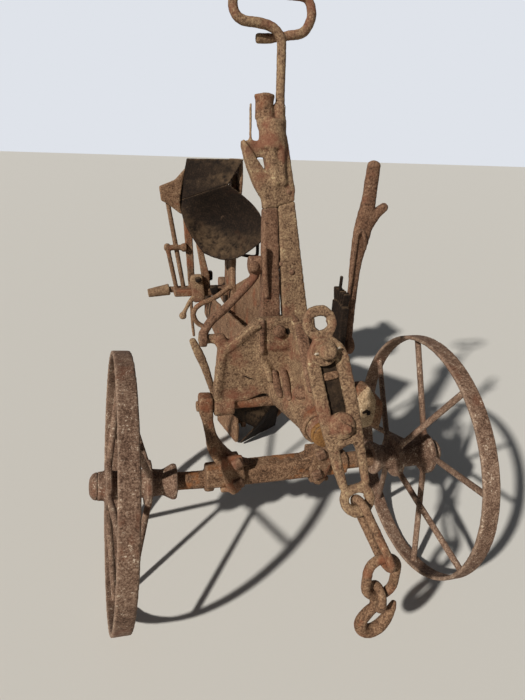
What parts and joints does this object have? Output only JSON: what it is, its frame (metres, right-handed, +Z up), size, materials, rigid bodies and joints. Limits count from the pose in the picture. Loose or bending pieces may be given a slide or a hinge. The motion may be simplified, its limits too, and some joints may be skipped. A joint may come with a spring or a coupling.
{
  "type": "turn-over wheel plough",
  "caption": "Rusted moldboard plough with a two-wheeled fore-carriage, a tilting head with depth crank and a turn-over beam that carries two opposed bodies.",
  "frame": {"origin": "on the ground, under the middle of the whole plough", "axes": "+X to the right seen from the front, +Y back along the beam, +Z up; it is drawn towards -Y"},
  "size_m": [0.8601, 1.3644, 1.2806],
  "materials": {
    "wheel_rust": "matt reddish rust",
    "forged_rust": "matt brown rust",
    "pale_casting": "matt pale orange-brown rust with light speckles",
    "dark_rust": "matt dark brown rust",
    "bronze": "dull, worn"
  },
  "bodies": {
    "fore_carriage": {"axle": "forged_rust", "left_stop_arm": "forged_rust", "right_stop_arm": "forged_rust", "clamp_bolts": "dark_rust", "cross_rod": "forged_rust", "head_casting": "pale_casting", "left_leg": "pale_casting", "right_leg": "pale_casting", "column_head": "pale_casting", "guide_tube": "forged_rust", "depth_crank": "pale_casting", "side_brace": "forged_rust", "tilt_quadrant": "dark_rust", "draft_bracket": "forged_rust", "draft_plate": "pale_casting", "draft_bolts": "forged_rust"},
    "left_wheel_set": {"left_wheel": "wheel_rust", "left_hub_cap": "wheel_rust"},
    "right_wheel_set": {"right_wheel": "wheel_rust", "right_hub_cap": "wheel_rust"},
    "turning_beam": {"nose_washer": "bronze", "beam": "forged_rust", "upper_standards": "forged_rust", "lower_standards": "forged_rust", "upper_mouldboard": "dark_rust", "lower_mouldboard": "dark_rust", "upper_share": "dark_rust", "lower_share": "dark_rust", "upper_landside": "forged_rust", "lower_landside": "forged_rust", "upper_side_plate": "forged_rust", "lower_side_plate": "forged_rust", "upper_braces": "forged_rust", "lower_braces": "forged_rust", "rear_handle": "forged_rust", "handle_grip": "pale_casting"},
    "lever": {"tilt_lever": "forged_rust", "lever_latch": "dark_rust"},
    "link": {"draft_link": "forged_rust"},
    "ring": {"draft_ring": "forged_rust"},
    "hook": {"draft_hook": "forged_rust"}
  },
  "joints": [
    {"name": "left_wheel_spin", "type": "hinge", "parent": "fore_carriage", "child": "left_wheel_set", "pos_m": [-0.367, -0.286, 0.30042], "axis": [0.9927, 0.0625, -0.1028], "continuous": true},
    {"name": "right_wheel_spin", "type": "hinge", "parent": "fore_carriage", "child": "right_wheel_set", "pos_m": [0.367, -0.286, 0.3], "axis": [1, 0, 0], "continuous": true},
    {"name": "beam_turn", "type": "hinge", "parent": "fore_carriage", "child": "turning_beam", "pos_m": [0.02, -0.506, 0.531], "axis": [0, 0.998, -0.0628], "range_deg": [0, 180]},
    {"name": "lever_swing", "type": "hinge", "parent": "fore_carriage", "child": "lever", "pos_m": [0.118, -0.346, 0.64], "axis": [1, 0, 0], "range_deg": [-15, 15]},
    {"name": "link_swing", "type": "hinge", "parent": "fore_carriage", "child": "link", "pos_m": [0.05565, -0.59795, 0.4555], "axis": [1, 0, 0], "range_deg": [-8, 8]},
    {"name": "ring_swing", "type": "hinge", "parent": "link", "child": "ring", "pos_m": [0.09668, -0.65247, 0.36276], "axis": [1, 0, 0], "range_deg": [-10, 10]},
    {"name": "hook_swing", "type": "hinge", "parent": "ring", "child": "hook", "pos_m": [0.09668, -0.65247, 0.27176], "axis": [1, 0, 0], "range_deg": [-20, 20]}
  ]
}
